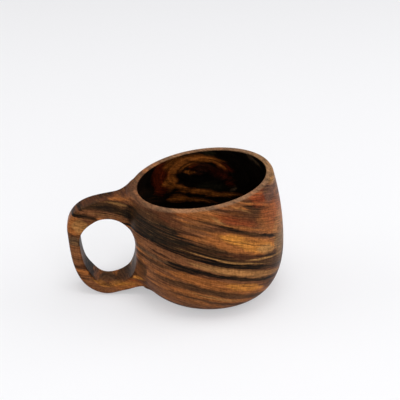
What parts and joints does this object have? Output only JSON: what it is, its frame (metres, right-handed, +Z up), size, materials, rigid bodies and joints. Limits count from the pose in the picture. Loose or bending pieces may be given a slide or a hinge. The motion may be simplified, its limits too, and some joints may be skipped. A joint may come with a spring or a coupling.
{
  "type": "wooden mug",
  "caption": "Round hollow wooden mug with a flat foot and a slanted rim, and a carved loop handle with a finger hole, coped to the bowl's side, glued and pinned with hidden dowels.",
  "frame": {"origin": "centre of the bowl's flat foot, on the surface that the mug stands on", "axes": "+Z up through the bowl, +X away from the handle, so that the handle and its finger hole are on -X"},
  "size_m": [0.1224, 0.088, 0.0736],
  "materials": {
    "bowl_wood": "turned dark-figured hardwood, sanded and oiled to a satin",
    "handle_wood": "carved dark-figured hardwood, sanded and oiled to a satin",
    "dowel_wood": "plain planed beech, unfinished"
  },
  "bodies": {
    "root": {"bowl": "bowl_wood", "handle": "handle_wood", "upper_dowel": "dowel_wood", "lower_dowel": "dowel_wood"}
  },
  "joints": []
}
